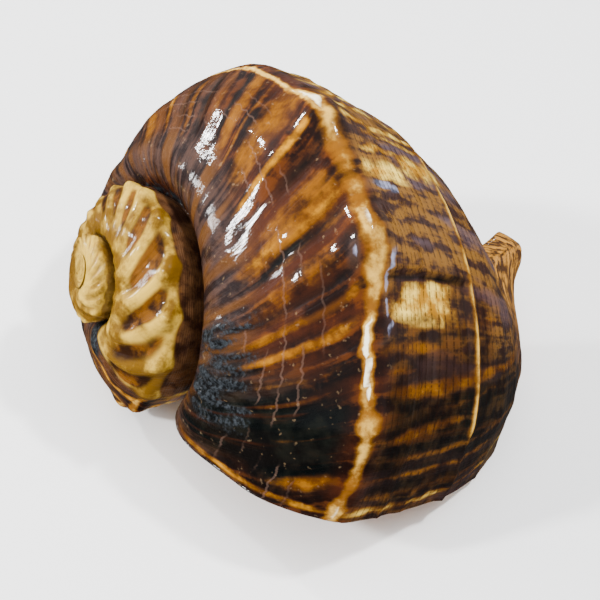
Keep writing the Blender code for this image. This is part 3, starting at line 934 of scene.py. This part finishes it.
def shade_and_dirt_marks(growth, place, spire):
    """Painted shade and dirt: the most of a bell of painted shade on the suture, a window of grime on the
    swelling, and a bell of dirt below the apex.
    """
    # Painted shade in the suture groove
    suture = bump(place, *SUTURE_PAINTED_SHADE) * (0.95 - 0.25 * spire) * rise(growth, *SUTURE_FROM)
    suture = suture * (0.7 + 0.3 * value_noise(growth / 3.0, place * 2.0, 45))
    grime = window(place, *GRIME_PLACES) * rise(growth, *GRIME_FROM) * fall(growth, *GRIME_TO)
    grime = grime * (0.65 + 0.5 * value_noise(growth / 1.6, place * 2.5, 46))
    spot = bump(growth, *APEX_DIRT) * window(place, *APEX_DIRT_PLACES)
    return np.clip(np.maximum(np.maximum(suture, 0.9 * grime), 0.85 * spot), 0, 1)


def brown_marks(growth, place, edge):
    """The spire's brown: dimples between the pale ribs, partly brown shell and partly painted shade in the
    hollows, and a band by the suture.
    """
    rib = np.zeros(growth.shape)
    knob = np.zeros(growth.shape)
    for angle, _, width in knob_list():
        rib = np.maximum(rib, bump(edge + RIB_SLANT * (place - 4.0), angle + RIB_AHEAD, width * 1.08))
        knob = np.maximum(knob, bump(growth, angle, width * 0.8))
    patchy = 1.0 + 0.45 * value_noise(growth / 9.0, place * 0.9, 52)
    # Brown in the hollows between the ribs: partly the shell's brown, partly painted shade
    hollow_brown_and_shade = (1.0 - rib) * (window(place, *DIMPLE_BROWN_AND_SHADE) * patchy + 0.35 * window(place, *FAINT_BROWN))
    band = rise(place, BAND_FROM + 0.35 * knob, BAND_SOFT)
    return np.clip(np.maximum(0.95 * hollow_brown_and_shade, band), 0, 1)


def marks_of(growth, place):
    """Nine masks over growth angle and place, which the material turns into colour.

    They run from 0 to 1, but for the grey one, which goes on to 1.5 where the shell is worn to slate and in a
    spot of painted shade.
    """
    edge = lean_back(growth, place)
    wobble = 1.3 * value_noise(edge / 7.0, place * 0.9, 41) + 0.5 * value_noise(edge / 2.5, place * 2.0, 42)
    ragged = 0.10 * value_noise(growth / 3.0, place * 1.5, 43)
    ragged = ragged + 0.06 * value_noise(growth / 1.2, place * 3.0, 47)
    spire = on_spire(growth, MARK_SOFT)
    last = 1.0 - spire
    # Painted shadow: a dark line at the foot of the broken edge's step, which also clears the amber
    broken = bump(growth, LEDGE_SHADOW_AT + 0.5 * wobble, LEDGE_SHADOW_HALF) * window(place, *LEDGE_SHADOW_PLACES)
    patch = window(growth + 0.9 * wobble, *PATCH_ARC) * window(place, *PATCH_PLACES)
    amber, bright = amber_marks(growth, place, edge, wobble)
    amber = amber * last * (1.0 - patch) * (1.0 - broken)
    bright = bright * last * (1.0 - patch) * (1.0 - broken)
    cream = ridge_marks(growth, place, ragged) * last
    slate = np.maximum(patch, slate_and_shade_marks(growth, place, ragged))
    grey = np.maximum(grey_marks(growth, place) * last, SLATE_AND_SHADE_LEVEL * slate)
    dark = np.maximum(dark_marks(growth, place, edge, wobble), broken) * last
    # Dirt, and painted shade in the suture
    dirt = shade_and_dirt_marks(growth, place, spire)
    early = fall(growth, *EARLY)
    brown = brown_marks(growth, place, edge) * spire * (1.0 - 0.45 * early)
    canal = rise(place, *CANAL_FROM)
    return np.stack([amber, bright, cream, grey, dark, dirt, brown, spire, canal], -1)


def shell_mesh():
    """The shell's mesh with its marks as corner attributes, so that nothing blends across the suture."""
    points, marks, quads, weld = build_net()
    low, high = (np.array(corner) for corner in cad_box)
    world = np.clip(lie_down(points), low + BOX_MARGIN, high - BOX_MARGIN)
    vertices = weld[quads]
    real, number = np.unique(vertices, return_inverse=True)
    number = number.reshape(vertices.shape)
    is_triangle = vertices[:, 2] == vertices[:, 3]
    sizes = np.where(is_triangle, 3, 4)
    keep = np.ones(vertices.shape, bool)
    keep[is_triangle, 3] = False
    loops = number[keep]
    sources = quads[keep]
    mesh = bpy.data.meshes.new("whelk_shell")
    mesh.vertices.add(len(real))
    mesh.vertices.foreach_set("co", world[real].ravel())
    mesh.loops.add(len(loops))
    mesh.loops.foreach_set("vertex_index", loops.astype(np.int32))
    mesh.polygons.add(len(sizes))
    starts = np.concatenate([[0], np.cumsum(sizes)[:-1]])
    mesh.polygons.foreach_set("loop_start", starts.astype(np.int32))
    mesh.polygons.foreach_set("use_smooth", np.ones(len(sizes), bool))
    mesh.update(calc_edges=True)
    growth, place, inside = marks.T
    masks = marks_of(growth, place)
    coil = np.stack([lean_back(growth, place), place, inside], -1)
    for name, values in (("coil", coil), ("tint", masks[:, 0:3]), ("shade", masks[:, 3:6]),
                         ("spire", masks[:, 6:9])):
        layer = mesh.attributes.new(name, "FLOAT_VECTOR", "CORNER")
        layer.data.foreach_set("vector", values[sources].astype(np.float32).ravel())
    mesh.validate()
    return mesh


def linear(code):
    """An sRGB hex colour as linear red, green, blue and 1."""
    parts = [int(code[k:k + 2], 16) / 255.0 for k in (1, 3, 5)]
    return tuple(v / 12.92 if v <= 0.04045 else ((v + 0.055) / 1.055) ** 2.4 for v in parts) + (1.0,)


# Kinds of node: type, settings, the inputs that are given in this order, and the output that is used
COIL = ("ShaderNodeAttribute", {"attribute_name": "coil"}, (), "Vector")
TINT = ("ShaderNodeAttribute", {"attribute_name": "tint"}, (), "Vector")
SHADE = ("ShaderNodeAttribute", {"attribute_name": "shade"}, (), "Vector")
OLD = ("ShaderNodeAttribute", {"attribute_name": "spire"}, (), "Vector")
SPLIT = ("ShaderNodeSeparateXYZ", {}, (0,), None)
HERE = ("ShaderNodeTexCoord", {}, (), "Object")
SKYWARD = ("ShaderNodeTexCoord", {}, (), "Generated")
STRETCH = ("ShaderNodeVectorMath", {"operation": "MULTIPLY"}, (0, 1), 0)
NOISE = ("ShaderNodeTexNoise", {}, ("Vector", "Scale", "Detail", "Roughness"), 0)
PLUS = ("ShaderNodeMath", {"operation": "ADD"}, (0, 1), 0)
LESS = ("ShaderNodeMath", {"operation": "SUBTRACT"}, (0, 1), 0)
TIMES = ("ShaderNodeMath", {"operation": "MULTIPLY"}, (0, 1), 0)
LEAST = ("ShaderNodeMath", {"operation": "MINIMUM"}, (0, 1), 0)
SINE = ("ShaderNodeMath", {"operation": "SINE"}, (0,), 0)
RANGE = ("ShaderNodeMapRange", {"interpolation_type": "SMOOTHSTEP"}, (0, 1, 2), 0)
SLOPED = ("ShaderNodeMapRange", {}, (0, 1, 2, 3, 4), 0)
MIX = ("ShaderNodeMix", {"data_type": "RGBA"}, (0, 6, 7), 2)
BUMP = ("ShaderNodeBump", {}, ("Strength", "Distance", "Height"), 0)
SURFACE = ("ShaderNodeBsdfPrincipled", {}, (
    "Base Color", "Roughness", "IOR", "Specular IOR Level", "Normal",
    "Coat Weight", "Coat Roughness", "Coat IOR", "Coat Normal"), 0)
OUTPUT = ("ShaderNodeOutputMaterial", {}, ("Surface",), None)


def add_node(tree, kind, *values):
    """Add a node of a kind, set or link its inputs in order, and return the output that is used."""
    type_name, settings, sockets, output = kind
    made = tree.nodes.new(type_name)
    for name, setting in settings.items():
        setattr(made, name, setting)
    for socket, value in zip(sockets, values):
        if isinstance(value, bpy.types.NodeSocket):
            tree.links.new(value, made.inputs[socket])
        else:
            made.inputs[socket].default_value = value
    return made.outputs if output is None else made.outputs[output]


# Patterns that follow the growth: cells per degree, cells per step of place, and detail. At the lip's
# shoulder a degree is 0.84 mm, so broad streaks are 6.5 mm wide and lines 2 mm. Real growth lines are
# 0.1 to 0.3 mm apart, too fine to show: the hairs are drawn at 0.5 mm. A step is 4 to 10 mm long.
BROAD = (0.13, 0.35, 2.0)
LINES = (0.42, 0.50, 3.0)
HAIRS = (1.6, 0.9, 2.0)
SCALES = (0.45, 1.4, 3.0)

# Patterns in space: cells per metre, detail and roughness. Mottles are 3 mm and clouds 8 mm across,
# and pale specks 1.1 mm. Real grit is 0.1 to 0.3 mm, too fine to show: grains are drawn at 0.7 mm.
MOTTLE = (330.0, 4.0, 0.6)
CLOUD = (120.0, 3.0, 0.5)
GRAIN = (1500.0, 3.0, 0.6)
SPECK = (900.0, 2.0, 0.5)

# Spacing of the fine spiral cords and of the pale threads, in steps of place. Real cords are 0.5 to
# 1 mm apart, too fine to show: they are drawn 0.8 to 2 mm apart. The threads are about 3 mm apart.
CORD_STEP = 0.21
THREAD_STEP = 0.37

# Height of the relief too fine for the mesh, in metres, and its strength on the wall and the varnish
FINE_HEIGHT = 0.0006
SHELL_BUMP = 0.6
VARNISH_BUMP = 0.18


class Look:
    """What the steps of the shell's material share: adding a node, the marks and the noises."""

    def __init__(self, tree):
        self.add = functools.partial(add_node, tree)
        self.here = self.add(HERE)
        self.coil = self.add(COIL)
        _, self.place, self.inside = self.add(SPLIT, self.coil)
        self.amber, self.bright, self.cream = self.add(SPLIT, self.add(TINT))
        # The dark mask also holds painted shade in the valleys and a painted shadow along the broken edge;
        # the dirt mask holds painted shade in the suture
        self.grey, self.dark, self.dirt = self.add(SPLIT, self.add(SHADE))
        self.brown, self.spire, self.canal = self.add(SPLIT, self.add(OLD))
        self.broad = self.along_coil(BROAD)
        self.lines = self.along_coil(LINES)
        self.hairs = self.along_coil(HAIRS)
        self.mottle = self.add(NOISE, self.here, *MOTTLE)
        self.cloud = self.add(NOISE, self.here, *CLOUD)
        self.grain = self.add(NOISE, self.here, *GRAIN)
        self.flank = self.add(RANGE, self.place, 6.9, 7.6)
        self.above = self.add(LESS, 1.0, self.flank)
        self.deep = self.add(RANGE, self.inside, LIP_INSIDE, 1.0)
        self.cords = self.waves(CORD_STEP, (0.10, 0.8, 3.0), 2.6)
        self.threads = self.long_threads()
        # Dirt, and painted shade in the suture, made uneven by grit
        self.soiled_and_shaded = self.add(RANGE, self.uneven(self.dirt, self.grain, 0.6), 0.30, 0.75)

    def along_coil(self, pattern):
        """Noise stretched over the coil: the growth angle and the place times their cells."""
        along, across, detail = pattern
        stretched = self.add(STRETCH, self.coil, (along, across, 0.0))
        return self.add(NOISE, stretched, 1.0, detail, 0.5)

    def centred(self, noise, size):
        """A noise moved to lie around 0, with a size."""
        return self.add(TIMES, self.add(LESS, noise, 0.5), size)

    def uneven(self, value, noise, size):
        """A value made uneven by a noise."""
        return self.add(PLUS, value, self.centred(noise, size))

    def tones(self, value, low, high, dark, light):
        """Two colours, the first where a value is low and the second where it is high."""
        return self.add(MIX, self.add(RANGE, value, low, high), linear(dark), linear(light))

    def patches(self, under, value, low, high, strength, code):
        """A colour laid over another where a value is high."""
        share = self.add(TIMES, self.add(RANGE, value, low, high), strength)
        return self.add(MIX, share, under, linear(code))

    def waves(self, step, pattern, size):
        """A sine of the place, one wave to a step, made to waver by a noise."""
        waver = self.centred(self.along_coil(pattern), size)
        return self.add(SINE, self.add(PLUS, self.add(TIMES, self.place, 2.0 * math.pi / step), waver))

    def long_threads(self):
        """The tops of wavering waves above the shoulder, kept only where a long noise is high."""
        tops = self.add(RANGE, self.waves(THREAD_STEP, (0.45, 0.6, 2.0), 3.2), 0.88, 1.0)
        kept = self.add(TIMES, tops, self.add(RANGE, self.along_coil((0.06, 1.3, 3.0)), 0.48, 0.58))
        slope = self.add(TIMES, self.add(RANGE, self.place, 3.7, 4.2), self.add(RANGE, self.place, 6.0, 5.3))
        return self.add(TIMES, kept, slope)


def ground_colour(look):
    """Brown above the shoulder, purple grey and tan below it and beside the suture, slate and black, both of
    which also hold painted shade.
    """
    streaky = look.uneven(look.lines, look.mottle, 0.9)
    brown = look.tones(look.uneven(look.broad, look.mottle, 0.4), 0.40, 0.62, "#140603", "#361606")
    brown = look.patches(brown, look.uneven(look.lines, look.mottle, 0.8), 0.50, 0.68, 0.70, "#562A06")
    purple = look.tones(streaky, 0.38, 0.62, "#1A1110", "#3A2A24")
    purple = look.patches(purple, look.broad, 0.46, 0.62, 0.75, "#573512")
    side = look.tones(streaky, 0.40, 0.60, "#33201A", "#76501E")
    side = look.patches(side, look.broad, 0.50, 0.62, 0.70, "#54444A")
    slate = look.tones(look.mottle, 0.38, 0.62, "#3A3A48", "#84849A")
    black = look.tones(look.uneven(look.cloud, look.mottle, 0.8), 0.40, 0.66, "#020505", "#0C100C")
    black = look.patches(black, look.lines, 0.53, 0.70, 0.65, "#2A1105")
    greyed = look.add(MIX, look.flank, purple, side)
    body = look.add(MIX, look.add(LEAST, look.grey, 1.0), brown, greyed)
    # Slate where the shell is worn, and in a spot of painted shade beside a knob
    body = look.add(MIX, look.add(RANGE, look.grey, 1.0, 1.3), body, slate)
    # Black: the shell's nearly black parts, painted shade in the valleys, and a painted shadow along the
    # broken edge
    return look.add(MIX, look.add(TIMES, look.dark, 0.95), body, black)


def amber_colour(look, body):
    """Amber where the amber mark is high, gold above the shoulder and yellow below it where bright."""
    add = look.add
    broken = add(PLUS, look.centred(look.lines, 0.7), look.centred(look.mottle, 0.7))
    glow = look.tones(look.uneven(look.cloud, look.mottle, 0.7), 0.38, 0.64, "#462402", "#724402")
    gold = look.tones(look.mottle, 0.40, 0.64, "#7E5002", "#C08408")
    yellow = look.tones(look.uneven(look.cloud, look.mottle, 0.9), 0.38, 0.64, "#A06C08", "#F4D05C")
    amber_share = add(RANGE, add(PLUS, look.amber, broken), 0.15, 0.85)
    amber_share = add(TIMES, amber_share, add(RANGE, look.amber, 0.02, 0.35))
    bright_share = add(RANGE, add(PLUS, look.bright, broken), 0.30, 1.0)
    bright_share = add(TIMES, bright_share, add(RANGE, look.bright, 0.05, 0.40))
    body = add(MIX, amber_share, body, glow)
    return add(MIX, bright_share, body, add(MIX, look.flank, gold, yellow))


def fine_colour(look, body):
    """Dark lines between the fine cords, pale threads, and pale specks above the shoulder."""
    add = look.add
    cord_line = add(TIMES, add(RANGE, look.cords, -0.62, -0.97), add(RANGE, look.hairs, 0.34, 0.56))
    specks = add(TIMES, add(RANGE, add(NOISE, look.here, *SPECK), 0.66, 0.74), look.above)
    body = add(MIX, add(TIMES, add(TIMES, cord_line, look.flank), 0.66), body, linear("#180A05"))
    body = add(MIX, add(TIMES, look.threads, 0.20), body, linear("#7A5E50"))
    return add(MIX, add(TIMES, specks, 0.24), body, linear("#8A7050"))


def pale_colour(look, body):
    """The pale ridge on the shoulder and the pale cord: brown at the edge, cream, and white on top, which is
    partly pale shell and partly painted highlight.
    """
    add = look.add
    pale = look.tones(look.uneven(look.cloud, look.mottle, 0.9), 0.36, 0.64, "#70440A", "#CCA044")
    # A white top where the ridge is strongest: partly pale shell, partly painted highlight
    top = add(RANGE, look.uneven(look.cream, look.mottle, 0.3), 0.80, 1.0)
    pale = add(MIX, top, pale, linear("#FFF4D0"))
    core = add(RANGE, look.uneven(look.cream, look.mottle, 0.5), 0.40, 0.75)
    pale = add(MIX, core, linear("#7C4C04"), pale)
    ragged = look.uneven(look.uneven(look.cream, look.lines, 0.5), look.mottle, 0.6)
    share = add(TIMES, add(RANGE, ragged, 0.20, 0.75), add(RANGE, look.cream, 0.05, 0.35))
    return add(MIX, share, body, pale)


def spire_colour(look, body):
    """Golden ivory ribs, umber dimples between them that are partly brown shell and partly painted shade, and
    a dark brown band by the suture.
    """
    add = look.add
    ivory = look.tones(look.uneven(look.cloud, look.mottle, 0.8), 0.36, 0.66, "#5E4006", "#BE9A38")
    umber = look.tones(look.uneven(look.cloud, look.mottle, 1.2), 0.36, 0.68, "#221004", "#623A06")
    band = look.tones(look.mottle, 0.38, 0.62, "#26140C", "#50341E")
    brown = add(RANGE, look.uneven(look.brown, look.mottle, 0.8), 0.25, 0.85)
    old = add(MIX, brown, ivory, add(MIX, look.flank, umber, band))
    return add(MIX, look.spire, body, old)


def end_colour(look, body):
    """Orange tan canal with dark brown scales, dirt, painted shade in the suture, and the mouth's orange
    lining with a pale rim.
    """
    add = look.add
    tan = look.tones(look.uneven(look.along_coil(SCALES), look.mottle, 0.4), 0.42, 0.60, "#3A2412", "#A8742C")
    # Dark soil, which in the suture is painted shade, with pale bluish grey flecks that are partly painted
    # glints on the crust
    soil_shade_and_glints = look.tones(look.grain, 0.35, 0.70, "#060606", "#2C3034")
    orange = look.tones(look.cloud, 0.35, 0.65, "#A8520C", "#E08A2C")
    body = add(MIX, look.canal, body, tan)
    body = add(MIX, look.soiled_and_shaded, body, soil_shade_and_glints)
    lining = add(MIX, look.deep, linear("#F0CE8C"), orange)
    return add(MIX, add(RANGE, look.inside, 0.02, 0.30), body, lining)


def fine_height(look):
    """Relief too fine for the mesh: growth lines, cords, threads, mottles and grit, none deep inside."""
    add = look.add
    height = add(PLUS, add(TIMES, look.lines, 0.5), add(TIMES, look.hairs, 0.10))
    height = add(PLUS, height, add(TIMES, add(TIMES, look.cords, look.flank), 0.07))
    height = add(PLUS, height, add(TIMES, look.threads, 0.10))
    height = add(PLUS, height, add(TIMES, look.mottle, 0.45))
    gritty = add(PLUS, look.dirt, add(TIMES, add(TIMES, look.grey, look.above), 0.25))
    height = add(PLUS, height, add(TIMES, add(TIMES, look.grain, gritty), 1.2))
    return add(TIMES, height, add(LESS, 1.0, add(TIMES, look.deep, 0.9)))


def varnished_shell():
    """Sea shell, layered calcite laid down by the animal, dipped in clear varnish.

    The varnish wets the chalky wall, so the colours are deep and saturated and the wall itself hardly
    shines. The clear film over it gives small, hard, bright reflections, and it is thin where there
    is dirt and where painted shade lies in the suture, which stay dull and rough.
    """
    material = bpy.data.materials.new("varnished_whelk_shell")
    material.use_nodes = True
    tree = material.node_tree
    tree.nodes.clear()
    look = Look(tree)
    add = look.add
    colour = ground_colour(look)
    for step in (amber_colour, fine_colour, pale_colour, spire_colour, end_colour):
        colour = step(look, colour)
    height = fine_height(look)
    wall_way = add(BUMP, SHELL_BUMP, FINE_HEIGHT, height)
    film_way = add(BUMP, VARNISH_BUMP, FINE_HEIGHT, height)
    rough = add(PLUS, 0.40, add(TIMES, look.dirt, 0.35))
    film = add(LESS, 0.30, add(TIMES, look.soiled_and_shaded, 0.20))
    add(OUTPUT, add(SURFACE, colour, rough, 1.5, 0.03, wall_way, film, 0.06, 1.5, film_way))
    return material


# The board under the shell: half its width in metres
BOARD_HALF = 3.0

# Lights: name, place in metres, width and height, and watts. They all look at the shell's middle.
LIGHT_AIM = (0.0, 0.0, 0.03)
FILL = ("soft_overhead", (0.0, -0.25, 1.30), 1.20, 1.20, 20.0)
WINDOWS = (
    ("window_left", (-0.67, -0.28, 0.56), 0.065, 0.08, 11.0),
    ("window_behind", (-0.66, 0.42, 0.50), 0.03, 0.09, 6.0),
    ("window_above", (0.37, 0.02, 0.80), 0.08, 0.055, 8.0),
    ("window_low", (-0.66, 0.14, 0.16), 0.05, 0.16, 3.5),
)

# The room's brightness below and above the horizon, and the height over which it changes
ROOM_BELOW = 0.10
ROOM_ABOVE = 0.80
HORIZON_SOFT = 0.15

# The camera that the shell's outline was fitted with: height above the horizon, roll, focal length
# on a 36 mm frame, distance, and the point that it looks at from the apex, both in lip radii
CAMERA_RISE = 45.256
CAMERA_ROLL = 5.350
FRAME_WIDTH = 36.0
FOCAL_LENGTH = 84.07
CAMERA_FAR = 4.49
CAMERA_AIM = (0.78056, -0.02894, -0.02811)


def pale_floor():
    """A wide board of matt white card: cut flat, with no shine. It is left out of the reflections."""
    low, high = -BOARD_HALF, BOARD_HALF
    mesh = bpy.data.meshes.new("pale_board")
    corners = [(low, low, 0.0), (high, low, 0.0), (high, high, 0.0), (low, high, 0.0)]
    mesh.from_pydata(corners, [], [(0, 1, 2, 3)])
    board = bpy.data.objects.new("pale_board", mesh)
    bpy.context.scene.collection.objects.link(board)
    material = bpy.data.materials.new("matt_white_card")
    material.use_nodes = True
    shader = material.node_tree.nodes["Principled BSDF"]
    shader.inputs["Base Color"].default_value = linear("#F4F4F4")
    shader.inputs["Roughness"].default_value = 0.9
    mesh.materials.append(material)
    board.visible_glossy = False


def area_light(name, place, width, height, power):
    """A rectangular soft light that looks at the shell."""
    light = bpy.data.lights.new(name, "AREA")
    light.shape = "RECTANGLE"
    light.size = width
    light.size_y = height
    light.energy = power
    holder = bpy.data.objects.new(name, light)
    holder.location = place
    holder.rotation_euler = (Vector(LIGHT_AIM) - Vector(place)).to_track_quat("-Z", "Y").to_euler()
    bpy.context.scene.collection.objects.link(holder)
    return holder


def studio():
    """A white room, bright above the horizon, a large soft light overhead and small window lights.

    The overhead light is left out of the reflections: the varnish mirrors the windows and the room.
    """
    world = bpy.data.worlds.new("white_room")
    bpy.context.scene.world = world
    world.use_nodes = True
    tree = world.node_tree
    height = add_node(tree, SPLIT, add_node(tree, SKYWARD))[2]
    background = tree.nodes["Background"]
    background.inputs["Color"].default_value = linear("#F4F6FA")
    glow = add_node(tree, SLOPED, height, -HORIZON_SOFT, 0.0, ROOM_BELOW, ROOM_ABOVE)
    tree.links.new(glow, background.inputs["Strength"])
    area_light(*FILL).visible_glossy = False
    for window_light in WINDOWS:
        area_light(*window_light)


def photo_camera():
    """The photo's camera: raised above the horizon, then rolled about the way that it looks."""
    data = bpy.data.cameras.new("photo_view")
    data.sensor_fit = "HORIZONTAL"
    data.sensor_width = FRAME_WIDTH
    data.lens = FOCAL_LENGTH
    data.clip_start = 0.01
    data.clip_end = 20.0
    rise_by = math.radians(CAMERA_RISE)
    roll_by = math.radians(CAMERA_ROLL)
    back = Vector((0.0, -math.cos(rise_by), math.sin(rise_by)))
    level = Vector((1.0, 0.0, 0.0))
    right = math.cos(roll_by) * level + math.sin(roll_by) * back.cross(level)
    eye = Vector(APEX) + LIP_RADIUS * (Vector(CAMERA_AIM) + CAMERA_FAR * back)
    holder = bpy.data.objects.new("photo_view", data)
    turn = Matrix((right, back.cross(right), back)).transposed().to_4x4()
    holder.matrix_world = Matrix.Translation(eye) @ turn
    bpy.context.scene.collection.objects.link(holder)
    bpy.context.scene.camera = holder


shell = bpy.data.objects.new("whelk_shell", shell_mesh())
bpy.context.scene.collection.objects.link(shell)
shell.data.materials.append(varnished_shell())
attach(shell, "root")
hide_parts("shell")

pale_floor()
studio()
photo_camera()
